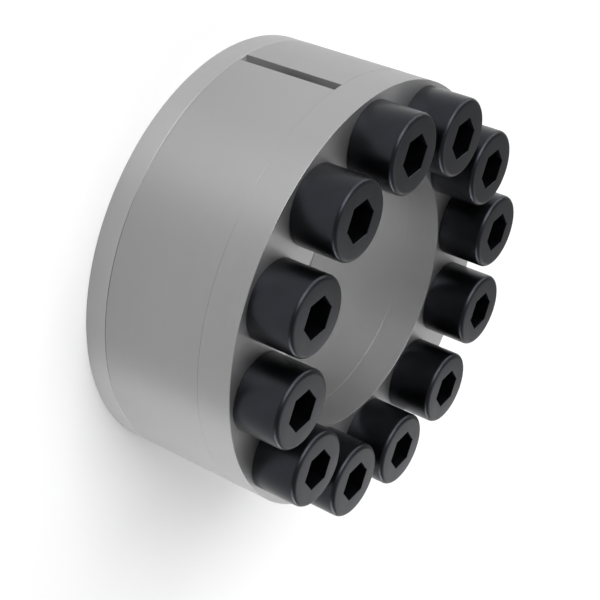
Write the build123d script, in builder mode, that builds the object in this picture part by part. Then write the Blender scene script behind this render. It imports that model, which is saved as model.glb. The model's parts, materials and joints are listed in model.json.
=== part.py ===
"""Shaft locking assembly: two slit taper rings spread by two wedge rings, which a circle of screws draws together.

Millimetres. +Z runs along the shaft towards the screw heads. The origin is the centre of the rear face,
on which the assembly stands. Both slits and the first screw lie on +X.
"""

import os
from math import cos, radians, sin, tan

from build123d import *

# Shaft, walls and cones, counted outwards from the shaft
bore_diameter = 45.0
inner_ridge_wall = 2.25
shank_gap = 0.5
outer_ridge_wall = 2.75
taper_angle = 8.0
ridge_land = 2.0
slit_width = 2.0

# Lengths along the shaft
rear_flange = 4.0
slit_ring_length = 18.0
front_flange = 6.0
wedge_depth = 6.0

# Socket head screws
screw_count = 12
thread_diameter = 8.0
screw_length = 25.0
head_diameter = 13.0
head_height = 8.0
head_edge_radius = 0.8
tip_chamfer = 0.9
key_size = 6.0
key_depth = 4.0
key_drill_angle = 118.0

# Clearances, all measured on the radius, and edges
cone_clearance = 0.03
flange_relief = 0.02
thread_clearance = 0.05
screw_hole_clearance = 0.2
edge_break = 0.05
seam_break = 0.01
rear_seam_break = 0.12
tapped_mouth_chamfer = 0.6

# Radii that follow
bore_radius = bore_diameter / 2
thread_radius = thread_diameter / 2
inner_ridge_radius = bore_radius + inner_ridge_wall
screw_circle_radius = inner_ridge_radius + shank_gap + thread_radius
outer_ridge_radius = screw_circle_radius + thread_radius + shank_gap
outer_radius = outer_ridge_radius + outer_ridge_wall
flange_bore_radius = bore_radius + flange_relief
flange_outer_radius = outer_radius - flange_relief

# Heights that follow
slit_rings_start = rear_flange
slit_rings_end = slit_rings_start + slit_ring_length
middle = (slit_rings_start + slit_rings_end) / 2
front_face = slit_rings_end + front_flange
rear_wedge_tip = slit_rings_start + wedge_depth
front_wedge_tip = slit_rings_end - wedge_depth

# Cones that follow
taper = tan(radians(taper_angle))
cone_length = (slit_ring_length - ridge_land) / 2
end_drop = cone_length * taper
inner_end_radius = inner_ridge_radius - end_drop
outer_end_radius = outer_ridge_radius + end_drop
wedge_inner_root = inner_end_radius + cone_clearance
wedge_outer_root = outer_end_radius - cone_clearance
wedge_narrowing = wedge_depth * taper

# The half-plane y = 0, x > 0, in which every ring is drawn as its section
section_plane = Plane.XZ


def slit_ring(inner_points, outer_points):
    """A turned ring between two outlines that both climb from the rear end, sawn through once on +X."""
    with BuildPart() as ring:
        with BuildSketch(section_plane):
            with BuildLine():
                Polyline(*inner_points, *reversed(outer_points), close=True)
            make_face()
        revolve(axis=Axis.Z)
        with BuildSketch(Plane.XY.offset(slit_rings_start)):
            with Locations((outer_radius / 2, 0)):
                Rectangle(outer_radius, slit_width)
        extrude(amount=slit_ring_length, mode=Mode.SUBTRACT)
    return ring.part


def straight_side(radius, radius_at_ends):
    """The outline of a plain cylinder between the slit rings' ends, its two edges just broken."""
    return [
        (radius_at_ends, slit_rings_start),
        (radius, slit_rings_start + seam_break),
        (radius, slit_rings_end - seam_break),
        (radius_at_ends, slit_rings_end),
    ]


def double_taper(end_radius, ridge_radius):
    """The outline of two cones that meet at a plain land half way along."""
    return [
        (end_radius, slit_rings_start),
        (ridge_radius, middle - ridge_land / 2),
        (ridge_radius, middle + ridge_land / 2),
        (end_radius, slit_rings_end),
    ]


def wedge_ring(flange_face, flange_root, wedge_tip, outer_seam_break):
    """A flange with broken edges that carries a wedge, both turned in one piece about the shaft."""
    to_face = 1 if flange_face > flange_root else -1
    face_edge = flange_face - to_face * edge_break
    seam_edge = flange_root + to_face * outer_seam_break
    with BuildPart() as ring:
        with BuildSketch(section_plane):
            with BuildLine():
                Polyline(
                    (flange_bore_radius, face_edge),
                    (flange_bore_radius + edge_break, flange_face),
                    (flange_outer_radius - edge_break, flange_face),
                    (flange_outer_radius, face_edge),
                    (flange_outer_radius, seam_edge),
                    (flange_outer_radius - outer_seam_break, flange_root),
                    (wedge_outer_root, flange_root),
                    (wedge_outer_root - wedge_narrowing, wedge_tip),
                    (wedge_inner_root + wedge_narrowing, wedge_tip),
                    (wedge_inner_root, flange_root),
                    (flange_bore_radius + seam_break, flange_root),
                    (flange_bore_radius, flange_root + to_face * seam_break),
                    close=True,
                )
            make_face()
        revolve(axis=Axis.Z)
    return ring.part


def screw_place(number):
    """Where the axis of one screw crosses the plane z = 0."""
    angle = radians(360 / screw_count * number)
    return screw_circle_radius * cos(angle), screw_circle_radius * sin(angle)


# Inner ring: bore for the shaft, two cones outside, one slit
inner_ring = slit_ring(
    straight_side(bore_radius, bore_radius + seam_break),
    double_taper(inner_end_radius, inner_ridge_radius),
)

# Outer ring: seat for the hub, two cones inside, one slit
outer_ring = slit_ring(
    double_taper(outer_end_radius, outer_ridge_radius),
    straight_side(outer_radius, outer_radius - seam_break),
)

# Front wedge ring: the screws pass through it with clearance
with BuildPart() as front_thrust_ring:
    add(wedge_ring(front_face, slit_rings_end, front_wedge_tip, seam_break))
    with Locations(Plane.XY.offset(front_face)):
        with PolarLocations(screw_circle_radius, screw_count):
            Hole(thread_radius + screw_hole_clearance, depth=front_face - front_wedge_tip)

# Rear wedge ring: the screws' threads hold in it, and each tapped hole opens with a countersink at the back
with BuildPart() as rear_thrust_ring:
    add(wedge_ring(0, slit_rings_start, rear_wedge_tip, rear_seam_break))
    with Locations(Plane.XY.rotated((180, 0, 0))):
        with PolarLocations(screw_circle_radius, screw_count):
            CounterSinkHole(
                thread_radius + thread_clearance,
                thread_radius + thread_clearance + tapped_mouth_chamfer,
                depth=rear_wedge_tip,
                counter_sink_angle=90,
            )


def clamping_screw(number):
    """A socket head screw with its head down on the front face, the flats of all sockets parallel."""
    x, y = screw_place(number)
    seat = Plane((x, y, front_face))
    drill_radius = key_size / 2
    drill_depth = drill_radius / tan(radians(key_drill_angle / 2))
    with BuildPart() as screw:
        with BuildSketch(seat):
            Circle(head_diameter / 2)
        extrude(amount=head_height)
        fillet(screw.edges().group_by(Axis.Z)[-1], head_edge_radius)
        with BuildSketch(seat):
            Circle(thread_radius)
        extrude(amount=-screw_length)
        chamfer(screw.edges().group_by(Axis.Z)[0], tip_chamfer)
        with BuildSketch(seat.offset(head_height)):
            RegularPolygon(key_size / 2, 6, major_radius=False, rotation=30)
        extrude(amount=-key_depth, mode=Mode.SUBTRACT)
        drill_centre = Location((x, y, front_face + head_height - key_depth - drill_depth / 2))
        with Locations(drill_centre):
            Cone(0, drill_radius, drill_depth, mode=Mode.SUBTRACT)
    return screw.part


parts = {
    "inner_ring": inner_ring,
    "outer_ring": outer_ring,
    "front_thrust_ring": front_thrust_ring.part,
    "rear_thrust_ring": rear_thrust_ring.part,
}
for number in range(screw_count):
    parts[f"clamping_screw_{number + 1:02d}"] = clamping_screw(number)

os.makedirs("parts", exist_ok=True)
for name, piece in parts.items():
    piece.label = name
    export_step(piece, f"parts/{name}.step")
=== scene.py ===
"""The looks of a shaft locking assembly: turned rings, black oxide screws, a pale floor and soft light."""

import json
import math

import bpy
from mathutils import Matrix, Vector


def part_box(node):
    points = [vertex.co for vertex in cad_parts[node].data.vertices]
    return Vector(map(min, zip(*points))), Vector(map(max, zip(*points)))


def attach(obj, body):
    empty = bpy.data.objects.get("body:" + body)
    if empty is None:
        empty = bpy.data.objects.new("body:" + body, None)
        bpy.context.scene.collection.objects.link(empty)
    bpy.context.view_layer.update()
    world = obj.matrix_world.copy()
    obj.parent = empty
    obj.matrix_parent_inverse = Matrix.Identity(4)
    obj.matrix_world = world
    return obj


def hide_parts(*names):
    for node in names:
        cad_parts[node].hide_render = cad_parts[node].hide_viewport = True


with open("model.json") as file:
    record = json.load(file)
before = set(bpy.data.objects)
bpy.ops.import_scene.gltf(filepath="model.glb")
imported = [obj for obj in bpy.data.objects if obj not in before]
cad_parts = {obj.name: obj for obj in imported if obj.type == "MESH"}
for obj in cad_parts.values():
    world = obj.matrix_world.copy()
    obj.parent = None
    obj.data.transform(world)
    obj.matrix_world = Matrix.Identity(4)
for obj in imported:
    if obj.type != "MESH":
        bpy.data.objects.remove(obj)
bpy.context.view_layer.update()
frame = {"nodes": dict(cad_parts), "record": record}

MM = 0.001
TINY = 0.001 * MM

# The screws and the shaft's bore, by their names in the frame
SCREWS = sorted(name for name in frame["nodes"] if name.startswith("clamping_screw"))
SHAFT_BORE = next(mount for mount in frame["record"]["mounts"] if mount["name"] == "shaft_bore")

# Heights and radii read from the frame
REAR_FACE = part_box("rear_thrust_ring")[0].z
REAR_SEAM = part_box("outer_ring")[0].z
FRONT_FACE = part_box("front_thrust_ring")[1].z
BORE_RADIUS = SHAFT_BORE["dims"]["r_mm"] * MM
SCREW_LOW, SCREW_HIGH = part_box(SCREWS[0])
SCREW_TIP = SCREW_LOW.z
HEAD_TOP = SCREW_HIGH.z
HEAD_RADIUS = (SCREW_HIGH.x - SCREW_LOW.x) / 2

# The slits along +X and the rings' broken edges
SLIT_WIDTH = 2.0 * MM
REAR_SEAM_EDGE = 0.12 * MM
FACE_EDGE = 0.05 * MM

# Socket head of a screw
HEAD_EDGE = 0.8 * MM
HEAD_EDGE_STEPS = 8
SEAT_EDGE = 0.2 * MM
SEAT_EDGE_STEPS = 2
KEY_SIZE = 6.0 * MM
KEY_DEPTH = 4.0 * MM
KEY_EDGE = 0.06 * MM
KEY_CORNER_RADIUS = KEY_SIZE / 2 / math.cos(math.radians(30))
DRILL_ANGLE = math.radians(118)

# Thread of the screws, 60 degrees and right-handed
PITCH = 1.25 * MM
THREAD_RADIUS = 4.0 * MM
THREAD_ROOT = 3.3 * MM
CREST_FLAT = PITCH / 8
FLANK = math.tan(math.radians(30))
TIP_CHAMFER = 0.9 * MM

# Tapped holes of the rear ring, and the play between their thread and the screw's
HOLE_WALL = 4.05 * MM
HOLE_MOUTH = 4.65 * MM
TAP_CREST = 3.42 * MM
TAP_PLAY = 0.05 * MM
TAP_TURNS = 8

# Fineness of the round shapes, and the turns that a wound thread has to spare at each end
ROUND_SIDES = 96
TURN_STEPS = 40
SPARE_TURNS = 2
SMOOTH_ANGLE = math.radians(30)

# The camera: it looks down on the screw heads, rolled so that the slit lies uppermost
LENS = 84.88
SENSOR = 36.0
NEAREST = 10 * MM
VIEW_AZIMUTH = math.radians(48.27)
VIEW_ELEVATION = math.radians(28.28)
VIEW_ROLL = math.radians(112.38)
VIEW_DISTANCE = 236.48 * MM
VIEW_CENTRE = Vector((-3.38, 3.01, 16.75)) * MM

# Floor and sky. The floor keeps clear of the rear face, so that the two never lie in one plane
FLOOR_SIZE = 12
FLOOR_GAP = 0.01 * MM
FLOOR_GREY = 0.9
FLOOR_ROUGHNESS = 0.9
FLOOR_GLOSS = 0.1
SKY_STRENGTH = 0.36

# How far the rings' bores may differ, and the hair in millimetres by which a limit clears a face
BORE_PLAY = 0.1 * MM
HAIR = 0.01

# Greys of the bare steel, how far each wanders, and how much of that comes in bands along the tool marks.
# The wall grey is the steel's own. The rear, face, bore and sawn greys are painted light and the edge grey
# is painted shade, all on the same steel.
WALL_GREY = 0.33
# The rear ring's grey is painted light: lighter than the walls of the other rings, it stands in for the rear
# band's lighter shading.
REAR_PAINTED_LIGHT_GREY = 0.39
# The faces' grey is painted light: lighter than the walls, it stands in for light falling on the faces.
FACE_PAINTED_LIGHT_GREY = 0.45
# The bore's grey is painted light: lighter than the walls, it stands in for light inside the bore.
BORE_PAINTED_LIGHT_GREY = 0.57
# The sawn faces' grey is painted light: lighter than the walls, it stands in for light inside the slits.
SAWN_PAINTED_LIGHT_GREY = 0.45
# The edge grey is painted shade: darker than the walls, it dims the glint of the broken edges.
EDGE_PAINTED_SHADE_GREY = 0.22
MOTTLE = 0.012
BAND_SHARE = 0.4

# Black oxide, between its darkest and its lightest places
OXIDE_DARK = (0.027, 0.028, 0.032, 1)
OXIDE_LIGHT = (0.030, 0.031, 0.037, 1)

# How matt the finishes are, and how far each wanders
STEEL_ROUGHNESS = 0.4
STEEL_WANDER = 0.01
REAR_ROUGHNESS = 0.38
FACE_EXTRA_ROUGHNESS = 0.06
SEAM_EXTRA_ROUGHNESS = 0.4
SAWN_EXTRA_ROUGHNESS = 0.2
OXIDE_ROUGHNESS = 0.355
OXIDE_WANDER = 0.025
GRAIN_WANDER = 0.02

# How far gloss stretches across the tool marks of a wall, and the share that a fine turned bore takes off
GLOSS_STRETCH = 0.85
BORE_CALM = 0.5
QUARTER_TURN = 0.25

# Tool marks in each millimetre across them, and how fast they change along their run
RING_MARKS = 5.0
RING_BANDS = 0.8
RING_DRIFT = 0.05
HEAD_MARKS = 6.0
HEAD_DRIFT = 0.15

# Soft clouds and fine grain, in features to the millimetre
RING_CLOUDS = 0.12
HEAD_CLOUDS = 0.35
OXIDE_GRAIN = 9.0

# Layers of detail in a noise, and the range in which most of its values lie
FINE_DETAIL = 2.0
CLOUD_DETAIL = 4.0
NOISE_LOW = 0.3
NOISE_HIGH = 0.7

# Depth of the marks and of the grain
RING_RELIEF = 0.001 * MM
HEAD_RELIEF = 0.006 * MM
RELIEF_STRENGTH = 0.2


def look_from(azimuth, elevation):
    """The unit vector from the object towards a place around it."""
    return Vector(
        (
            math.cos(elevation) * math.cos(azimuth),
            math.cos(elevation) * math.sin(azimuth),
            math.sin(elevation),
        )
    )


def add_camera():
    """The camera, in line with the view centre and rolled about its own line of sight."""
    out = look_from(VIEW_AZIMUTH, VIEW_ELEVATION)
    upright = out.to_track_quat("Z", "Y").to_matrix()
    rolled = upright @ Matrix.Rotation(VIEW_ROLL, 3, "Z")
    bpy.ops.object.camera_add()
    camera = bpy.context.object
    camera.name = "photo_camera"
    camera.matrix_world = Matrix.Translation(VIEW_CENTRE + out * VIEW_DISTANCE) @ rolled.to_4x4()
    camera.data.lens = LENS
    camera.data.sensor_width = SENSOR
    camera.data.clip_start = NEAREST
    bpy.context.scene.camera = camera


def add_softbox(name, azimuth, elevation, distance, size, power):
    """A soft studio light that faces the object, placed in degrees and metres, its power in watts."""
    out = look_from(math.radians(azimuth), math.radians(elevation))
    bpy.ops.object.light_add(type="AREA", location=VIEW_CENTRE + out * distance)
    light = bpy.context.object
    light.name = name
    light.rotation_euler = out.to_track_quat("Z", "Y").to_euler()
    light.data.shape = "RECTANGLE"
    light.data.size, light.data.size_y = size
    light.data.energy = power
    light.visible_camera = False


def add_floor():
    """A pale floor in the plane on which the assembly stands."""
    bpy.ops.mesh.primitive_plane_add(size=FLOOR_SIZE, location=(0, 0, -FLOOR_GAP))
    floor = bpy.context.object
    floor.name = "floor"
    material = bpy.data.materials.new("pale_floor")
    material.use_nodes = True
    shader = material.node_tree.nodes["Principled BSDF"]
    shader.inputs["Base Color"].default_value = (FLOOR_GREY, FLOOR_GREY, FLOOR_GREY, 1)
    shader.inputs["Roughness"].default_value = FLOOR_ROUGHNESS
    shader.inputs["Specular IOR Level"].default_value = FLOOR_GLOSS
    floor.data.materials.append(material)


def add_sky():
    """An even white surround."""
    world = bpy.data.worlds.new("surround")
    world.use_nodes = True
    background = world.node_tree.nodes["Background"]
    background.inputs["Color"].default_value = (1, 1, 1, 1)
    background.inputs["Strength"].default_value = SKY_STRENGTH
    bpy.context.scene.world = world


# Modelling by hand: one selected piece at a time


def only(piece):
    """Leaves one piece selected and active."""
    bpy.ops.object.select_all(action="DESELECT")
    piece.select_set(True)
    bpy.context.view_layer.objects.active = piece


def pick_edges(piece, wanted):
    """Goes into edit mode with the edges selected whose two ends both pass a test."""
    only(piece)
    bpy.ops.object.mode_set(mode="EDIT")
    bpy.ops.mesh.select_mode(type="EDGE")
    bpy.ops.mesh.select_all(action="DESELECT")
    bpy.ops.object.mode_set(mode="OBJECT")
    points = piece.data.vertices
    for edge in piece.data.edges:
        edge.select = all(wanted(points[end].co) for end in edge.vertices)
    bpy.ops.object.mode_set(mode="EDIT")


def bevel_edges(piece, wanted, width, steps=1):
    """Rounds the edges whose two ends both pass a test, or breaks them where one step is asked for."""
    pick_edges(piece, wanted)
    bpy.ops.mesh.bevel(offset=width, segments=steps, profile=0.5, affect="EDGES")
    bpy.ops.object.mode_set(mode="OBJECT")


def combine(piece, other, operation):
    """Adds, cuts or keeps one closed piece by another, which is used up."""
    only(piece)
    modifier = piece.modifiers.new("combine", "BOOLEAN")
    modifier.operation = operation
    modifier.solver = "EXACT"
    modifier.object = other
    bpy.ops.object.modifier_apply(modifier=modifier.name)
    bpy.data.objects.remove(other)


def smooth(piece):
    """Shades a piece smoothly, but for its sharp edges."""
    only(piece)
    bpy.ops.object.shade_smooth_by_angle(angle=SMOOTH_ANGLE)


def outward_normals():
    """In edit mode, turns all faces of the piece outwards."""
    bpy.ops.mesh.select_all(action="SELECT")
    bpy.ops.mesh.normals_make_consistent(inside=False)


def add_round_bar(radius, low, high, sides=ROUND_SIDES):
    """A bar about the Z axis between two heights."""
    bpy.ops.object.select_all(action="DESELECT")
    middle = (0, 0, (low + high) / 2)
    bpy.ops.mesh.primitive_cylinder_add(vertices=sides, radius=radius, depth=high - low, location=middle)
    bpy.ops.object.transform_apply(location=True)
    return bpy.context.object


def add_point(tip, base, base_radius):
    """A cone about the Z axis from its tip to its base."""
    bpy.ops.object.select_all(action="DESELECT")
    bottom, top = (0, base_radius) if base > tip else (base_radius, 0)
    bpy.ops.mesh.primitive_cone_add(
        vertices=ROUND_SIDES,
        radius1=bottom,
        radius2=top,
        depth=abs(base - tip),
        location=(0, 0, (tip + base) / 2),
    )
    bpy.ops.object.transform_apply(location=True)
    return bpy.context.object


def wind(outline, turns):
    """Winds an outline of radius and height pairs up the thread's helix."""
    bpy.ops.object.select_all(action="DESELECT")
    bpy.ops.mesh.primitive_plane_add(size=MM)
    piece = bpy.context.object
    bpy.ops.object.mode_set(mode="EDIT")
    bpy.ops.mesh.select_mode(type="VERT")
    bpy.ops.mesh.select_all(action="SELECT")
    bpy.ops.mesh.merge(type="CENTER")
    radius, height = outline[0]
    bpy.ops.transform.translate(value=(radius, 0, height))
    for (radius, height), (next_radius, next_height) in zip(outline, outline[1:]):
        step = (next_radius - radius, 0, next_height - height)
        bpy.ops.mesh.extrude_vertices_move(TRANSFORM_OT_translate={"value": step})
    bpy.ops.object.mode_set(mode="OBJECT")
    modifier = piece.modifiers.new("turns", "SCREW")
    modifier.axis = "Z"
    modifier.screw_offset = PITCH
    modifier.iterations = turns
    modifier.steps = modifier.render_steps = TURN_STEPS
    bpy.ops.object.modifier_apply(modifier=modifier.name)
    bpy.ops.object.mode_set(mode="EDIT")
    bpy.ops.mesh.select_all(action="SELECT")
    bpy.ops.mesh.remove_doubles(threshold=TINY)
    bpy.ops.object.mode_set(mode="OBJECT")
    return piece


def cut_ends(piece, low, high):
    """Cuts a wound piece off square at two heights and closes the cuts."""
    only(piece)
    bpy.ops.object.mode_set(mode="EDIT")
    for height, outwards in ((low, -1), (high, 1)):
        bpy.ops.mesh.select_all(action="SELECT")
        bpy.ops.mesh.bisect(
            plane_co=(0, 0, height),
            plane_no=(0, 0, outwards),
            use_fill=True,
            clear_outer=True,
            threshold=TINY / 10,
        )
    outward_normals()
    bpy.ops.object.mode_set(mode="OBJECT")


# The clamping screws


def shape_head():
    """The socket head: edges rounded, hexagon sunk in its top, drilled to a point below it."""
    head = add_round_bar(HEAD_RADIUS, FRONT_FACE, HEAD_TOP)
    bevel_edges(head, lambda point: point.z > HEAD_TOP - TINY, HEAD_EDGE, HEAD_EDGE_STEPS)
    bevel_edges(head, lambda point: point.z < FRONT_FACE + TINY, SEAT_EDGE, SEAT_EDGE_STEPS)

    socket_floor = HEAD_TOP - KEY_DEPTH
    key = add_round_bar(KEY_CORNER_RADIUS, socket_floor, HEAD_TOP + KEY_DEPTH, sides=6)
    combine(head, key, "DIFFERENCE")

    def on_socket_rim(point):
        """Whether a point lies where the hexagon meets the head's top."""
        return point.z > HEAD_TOP - TINY and point.to_2d().length < KEY_CORNER_RADIUS + TINY

    bevel_edges(head, on_socket_rim, KEY_EDGE)

    # The drill's cone starts a little above the hexagon's floor, so that no two faces lie in one plane
    slope = math.tan(DRILL_ANGLE / 2)
    overlap = KEY_DEPTH / 20
    drill_tip = socket_floor - KEY_SIZE / 2 / slope
    drill_base = socket_floor + overlap
    drill = add_point(drill_tip, drill_base, (drill_base - drill_tip) * slope)
    combine(head, drill, "DIFFERENCE")
    return head


def shape_shank():
    """The thread, from its chamfered tip up into the head."""
    start = SCREW_TIP - SPARE_TURNS * PITCH
    crest = start + PITCH / 2
    root_flat = PITCH - CREST_FLAT - 2 * (THREAD_RADIUS - THREAD_ROOT) * FLANK
    outline = [
        (THREAD_ROOT, start),
        (THREAD_ROOT, start + root_flat / 2),
        (THREAD_RADIUS, crest - CREST_FLAT / 2),
        (THREAD_RADIUS, crest + CREST_FLAT / 2),
        (THREAD_ROOT, start + PITCH - root_flat / 2),
        (THREAD_ROOT, start + PITCH),
    ]
    turns = math.ceil((FRONT_FACE - SCREW_TIP) / PITCH)
    shank = wind(outline, turns + 2 * SPARE_TURNS)
    inside_head = FRONT_FACE + 2 * SEAT_EDGE
    cut_ends(shank, SCREW_TIP, inside_head)

    # What lies outside a wider blank with a chamfered end is turned off
    room = THREAD_RADIUS / 10
    blank_end = SCREW_TIP - TIP_CHAMFER
    blank = add_round_bar(THREAD_RADIUS + room, blank_end, HEAD_TOP)
    bevel_edges(blank, lambda point: point.z < blank_end + TINY, 2 * TIP_CHAMFER + room)
    combine(shank, blank, "INTERSECT")
    return shank


def clamping_screw():
    """One screw about the Z axis, at its true height."""
    screw = shape_head()
    combine(screw, shape_shank(), "UNION")
    smooth(screw)
    return screw


# The threads of the tapped holes


def tapped_thread():
    """The ridge that the tap leaves in a hole of the rear ring, in step with the screw's own thread."""
    turns_to_rear = math.ceil((SCREW_TIP - REAR_FACE) / PITCH)
    start = SCREW_TIP - turns_to_rear * PITCH

    def reach(radius):
        """How far the ridge reaches up and down at a radius."""
        return PITCH / 2 - CREST_FLAT / 2 - (THREAD_RADIUS - radius) * FLANK - TAP_PLAY

    wall = HOLE_WALL + TAP_PLAY / 2
    outline = [
        (wall, start - reach(wall)),
        (TAP_CREST, start - reach(TAP_CREST)),
        (TAP_CREST, start + reach(TAP_CREST)),
        (wall, start + reach(wall)),
        (wall, start - reach(wall)),
    ]
    ridge = wind(outline, TAP_TURNS)
    only(ridge)
    bpy.ops.object.mode_set(mode="EDIT")
    bpy.ops.mesh.select_mode(type="EDGE")
    bpy.ops.mesh.select_all(action="DESELECT")
    bpy.ops.mesh.select_non_manifold()
    bpy.ops.mesh.fill_holes(sides=0)
    outward_normals()
    bpy.ops.object.mode_set(mode="OBJECT")

    # A right-angled countersink is as deep to its point as its mouth is wide from the middle
    below = 2 * PITCH
    countersink = add_point(HOLE_MOUTH, -below, HOLE_MOUTH + below)
    combine(ridge, countersink, "DIFFERENCE")
    smooth(ridge)
    return ridge


def place_copy(master, name, place, body, material):
    """A copy of a piece with its own mesh, set down beside its axis and made to ride a body."""
    only(master)
    bpy.ops.object.duplicate(linked=False)
    piece = bpy.context.object
    piece.name = piece.data.name = name
    piece.location = (place.x, place.y, 0)
    bpy.ops.object.transform_apply(location=True)
    piece.data.materials.clear()
    piece.data.materials.append(material)
    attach(piece, body)
    return piece


# Building blocks of the finishes


def add_node(tree, kind, inputs=(), **settings):
    """Adds a node. Each input is given a number, a colour or the socket that feeds it."""
    made = tree.nodes.new(kind)
    for name, value in settings.items():
        setattr(made, name, value)
    for name, value in dict(inputs).items():
        if isinstance(value, bpy.types.NodeSocket):
            tree.links.new(value, made.inputs[name])
        else:
            made.inputs[name].default_value = value
    return made


def maths(tree, operation, first, second=0.0):
    """One step of arithmetic on numbers or sockets."""
    return add_node(tree, "ShaderNodeMath", {0: first, 1: second}, operation=operation).outputs[0]


def plus(tree, first, second):
    """The sum of two values."""
    return maths(tree, "ADD", first, second)


def times(tree, first, second):
    """The product of two values."""
    return maths(tree, "MULTIPLY", first, second)


def greater(tree, first, second):
    """The greater of two values, which joins two places that are marked with one."""
    return maths(tree, "MAXIMUM", first, second)


def ramp(tree, value, start, end, low, high):
    """Turns one range of a value into another, and holds it at the ends."""
    sockets = {"Value": value, "From Min": start, "From Max": end, "To Min": low, "To Max": high}
    return add_node(tree, "ShaderNodeMapRange", sockets).outputs[0]


def spread(tree, value, low, high):
    """Turns a noise value, which keeps near one half, into a range around it."""
    return ramp(tree, value, NOISE_LOW, NOISE_HIGH, low, high)


def inside(tree, value, limit):
    """One where a length in millimetres lies below a limit in metres, and nothing above it."""
    return maths(tree, "LESS_THAN", value, limit / MM + HAIR)


def blend(tree, factor, first, second):
    """A colour between two others, which are sockets or colours."""
    mix = add_node(tree, "ShaderNodeMix", {"Factor": factor, 6: first, 7: second}, data_type="RGBA")
    return mix.outputs[2]


def noise(tree, vector, scale, detail=FINE_DETAIL):
    """A noise value. The scale is in features for each unit of the vector."""
    sockets = {"Vector": vector, "Scale": scale, "Detail": detail}
    return add_node(tree, "ShaderNodeTexNoise", sockets).outputs[0]


def new_metal(name):
    """A new metal material, its nodes and its shader."""
    material = bpy.data.materials.new(name)
    material.use_nodes = True
    tree = material.node_tree
    shader = tree.nodes["Principled BSDF"]
    shader.inputs["Metallic"].default_value = 1.0
    return material, tree, shader


def turned_places(tree, axis):
    """Millimetres from a turned piece's axis: the place, its three parts and its distance from the axis."""
    object_place = tree.nodes.new("ShaderNodeTexCoord").outputs["Object"]
    shift = (-axis.x / MM, -axis.y / MM, 0)
    scale = (1 / MM, 1 / MM, 1 / MM)
    sockets = {"Vector": object_place, "Location": shift, "Scale": scale}
    place = add_node(tree, "ShaderNodeMapping", sockets).outputs[0]
    split = add_node(tree, "ShaderNodeSeparateXYZ", {0: place})
    across = {0: place, 1: (1, 1, 0)}
    flat = add_node(tree, "ShaderNodeVectorMath", across, operation="MULTIPLY").outputs[0]
    radius = add_node(tree, "ShaderNodeVectorMath", {0: flat}, operation="LENGTH").outputs["Value"]
    return place, split, radius


def tool_marks(tree, split, radius, marks, drift):
    """Noise that changes fast across the marks of a lathe tool and slowly along them."""
    feed = times(tree, plus(tree, radius, split.outputs["Z"]), marks)
    x = times(tree, split.outputs["X"], drift)
    y = times(tree, split.outputs["Y"], drift)
    stretched = add_node(tree, "ShaderNodeCombineXYZ", {"X": feed, "Y": x, "Z": y})
    return noise(tree, stretched.outputs[0], 1.0)


def raise_relief(tree, shader, height, depth):
    """Lets fine marks stand out of the surface."""
    sockets = {"Strength": RELIEF_STRENGTH, "Distance": depth, "Height": height}
    bump = add_node(tree, "ShaderNodeBump", sockets)
    tree.links.new(bump.outputs[0], shader.inputs["Normal"])


# Places on the rings, each marked with one on it and nothing elsewhere


def height_from(tree, split, middle):
    """How far a place lies above or below a height, in millimetres."""
    return maths(tree, "ABSOLUTE", maths(tree, "SUBTRACT", split.outputs["Z"], middle / MM))


def end_faces(tree, split, depth=0.0):
    """The rear and the front face, down to a depth below each."""
    middle = (REAR_FACE + FRONT_FACE) / 2
    reach = FRONT_FACE - middle - depth
    return maths(tree, "GREATER_THAN", height_from(tree, split, middle), reach / MM - HAIR)


def sawn_faces(tree, split):
    """The sawn faces of the slits."""
    aside = maths(tree, "ABSOLUTE", split.outputs["Y"])
    ahead = maths(tree, "GREATER_THAN", split.outputs["X"], 0.0)
    return times(tree, ahead, inside(tree, aside, SLIT_WIDTH / 2))


def seam_edge(tree, split):
    """The broken edge along the rear seam, which is painted darker as painted shade."""
    middle = REAR_SEAM - REAR_SEAM_EDGE / 2
    return inside(tree, height_from(tree, split, middle), REAR_SEAM_EDGE / 2)


def seam_faces(tree, split):
    """The faces that meet in the rear seam, which the slits lay open."""
    return inside(tree, height_from(tree, split, REAR_SEAM), 0.0)


# The finishes


def mottled(tree, shade, grey):
    """A grey that wanders a little to both sides of its own value."""
    dark = grey * (1 - MOTTLE)
    light = grey * (1 + MOTTLE)
    return blend(tree, shade, (dark, dark, dark, 1), (light, light, light, 1))


def stretch_gloss(tree, shader, split, calm):
    """Lets gloss run across the tool marks, which go round the axis, and less so where it is calm."""
    leftwards = times(tree, split.outputs["Y"], -1.0)
    round_axis = add_node(tree, "ShaderNodeCombineXYZ", {"X": leftwards, "Y": split.outputs["X"]})
    tree.links.new(round_axis.outputs[0], shader.inputs["Tangent"])
    shader.inputs["Anisotropic Rotation"].default_value = QUARTER_TURN
    tree.links.new(ramp(tree, calm, 0.0, 1.0, GLOSS_STRETCH, 0.0), shader.inputs["Anisotropic"])


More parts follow.
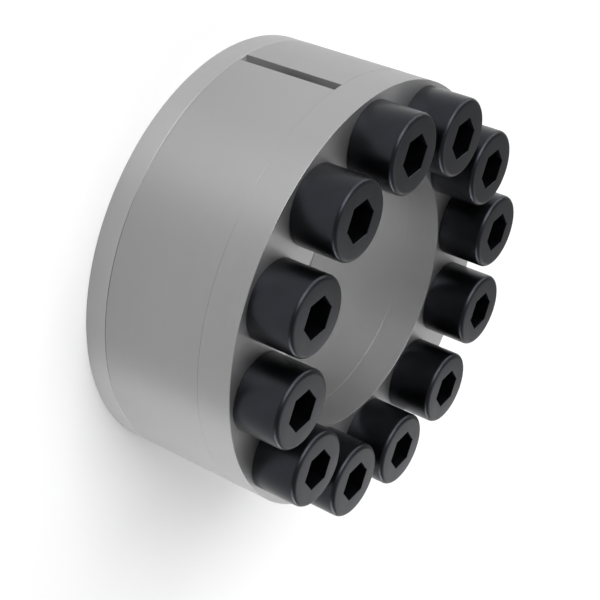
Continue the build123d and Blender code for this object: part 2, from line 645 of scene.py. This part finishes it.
def turned_steel(name, wall_grey, roughness, slit=False):
    """Bare steel off the lathe: satin walls, a dull seam and saw cuts. The bore, the faces and the sawn
    faces are painted lighter as painted light, and the broken edges darker as painted shade.
    """
    material, tree, shader = new_metal(name)
    place, split, radius = turned_places(tree, Vector((0, 0, 0)))
    marks = tool_marks(tree, split, radius, RING_MARKS, RING_DRIFT)
    bands = tool_marks(tree, split, radius, RING_BANDS, RING_DRIFT)
    clouds = noise(tree, place, RING_CLOUDS, CLOUD_DETAIL)
    wander = plus(tree, times(tree, bands, BAND_SHARE), times(tree, clouds, 1 - BAND_SHARE))
    shade = spread(tree, wander, 0.0, 1.0)

    bore = inside(tree, radius, BORE_RADIUS + BORE_PLAY)
    edges = greater(tree, seam_edge(tree, split), end_faces(tree, split, FACE_EDGE))
    seam = seam_faces(tree, split)
    faces = greater(tree, end_faces(tree, split), seam)

    colour = mottled(tree, shade, wall_grey)
    # The bore is painted lighter: painted light.
    colour = blend(tree, bore, colour, mottled(tree, shade, BORE_PAINTED_LIGHT_GREY))
    # The broken edges along the end faces and the rear seam are painted darker: painted shade that dims
    # their glint and draws a dark hairline at the seam.
    colour = blend(tree, edges, colour, mottled(tree, shade, EDGE_PAINTED_SHADE_GREY))
    # The end faces and the seam faces are painted lighter: painted light.
    colour = blend(tree, faces, colour, mottled(tree, shade, FACE_PAINTED_LIGHT_GREY))

    rough = spread(tree, clouds, roughness - STEEL_WANDER, roughness + STEEL_WANDER)
    rough = plus(tree, rough, spread(tree, marks, -STEEL_WANDER, STEEL_WANDER))
    rough = plus(tree, rough, times(tree, faces, FACE_EXTRA_ROUGHNESS))
    rough = plus(tree, rough, times(tree, seam, SEAM_EXTRA_ROUGHNESS))

    calm = greater(tree, edges, times(tree, bore, BORE_CALM))
    if slit:
        cut = sawn_faces(tree, split)
        # The sawn faces are painted lighter: painted light in the slits.
        colour = blend(tree, cut, colour, mottled(tree, shade, SAWN_PAINTED_LIGHT_GREY))
        rough = plus(tree, rough, times(tree, cut, SAWN_EXTRA_ROUGHNESS))
        calm = greater(tree, calm, cut)

    tree.links.new(colour, shader.inputs["Base Color"])
    tree.links.new(rough, shader.inputs["Roughness"])
    stretch_gloss(tree, shader, split, calm)
    raise_relief(tree, shader, marks, RING_RELIEF)
    return material


def black_oxide(name, axis):
    """Blackened steel, satin, with a fine grain and faint tool rings about the screw's own axis."""
    material, tree, shader = new_metal(name)
    place, split, radius = turned_places(tree, axis)
    marks = tool_marks(tree, split, radius, HEAD_MARKS, HEAD_DRIFT)
    clouds = noise(tree, place, HEAD_CLOUDS, CLOUD_DETAIL)
    grain = noise(tree, place, OXIDE_GRAIN)
    colour = blend(tree, spread(tree, clouds, 0.0, 1.0), OXIDE_DARK, OXIDE_LIGHT)
    rough = spread(tree, clouds, OXIDE_ROUGHNESS - OXIDE_WANDER, OXIDE_ROUGHNESS + OXIDE_WANDER)
    rough = plus(tree, rough, spread(tree, grain, -GRAIN_WANDER, GRAIN_WANDER))
    tree.links.new(colour, shader.inputs["Base Color"])
    tree.links.new(rough, shader.inputs["Roughness"])
    raise_relief(tree, shader, plus(tree, grain, marks), HEAD_RELIEF)
    return material


def dress(node, material):
    """Gives a ring of the frame its finish."""
    for slot in frame["nodes"][node].material_slots:
        slot.material = material


def screw_axis(node):
    """The middle of a screw, through which its axis runs."""
    low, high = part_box(node)
    return (low + high) / 2


# The studio
add_camera()
add_floor()
add_sky()
add_softbox("key_light", azimuth=10, elevation=40, distance=2.1, size=(1.5, 1.5), power=38.0)
add_softbox("back_light", azimuth=-135, elevation=65, distance=2.1, size=(1.5, 1.5), power=7.2)
add_softbox("left_light", azimuth=-150, elevation=24, distance=1.5, size=(0.9, 0.9), power=2.5)
add_softbox("right_light", azimuth=-30, elevation=24, distance=1.5, size=(0.9, 0.9), power=6.9)
add_softbox("low_right_light", azimuth=-60, elevation=16, distance=1.5, size=(0.9, 0.6), power=4.5)
add_softbox("low_front_light", azimuth=156, elevation=10, distance=1.5, size=(1.4, 0.4), power=11.5)
bpy.context.scene.view_settings.view_transform = "Standard"

# The rings
# The rear ring and its tapped threads are painted lighter than the other rings: painted light.
rear_steel = turned_steel("rear_ring_steel", REAR_PAINTED_LIGHT_GREY, REAR_ROUGHNESS)
dress("rear_thrust_ring", rear_steel)
dress("front_thrust_ring", turned_steel("front_ring_steel", WALL_GREY, STEEL_ROUGHNESS))
dress("outer_ring", turned_steel("outer_ring_steel", WALL_GREY, STEEL_ROUGHNESS, slit=True))
dress("inner_ring", turned_steel("inner_ring_steel", WALL_GREY, STEEL_ROUGHNESS, slit=True))

# The screws and the threads that they hold in
master_screw = clamping_screw()
master_thread = tapped_thread()
for node in SCREWS:
    number = node[-2:]
    axis = screw_axis(node)
    black = black_oxide(f"black_oxide_{number}", axis)
    screw = place_copy(master_screw, f"socket_screw_{number}", axis, node, black)
    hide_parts(node)
    thread = f"tapped_thread_{number}"
    place_copy(master_thread, thread, axis, "rear_thrust_ring", rear_steel)
bpy.data.objects.remove(master_screw)
bpy.data.objects.remove(master_thread)
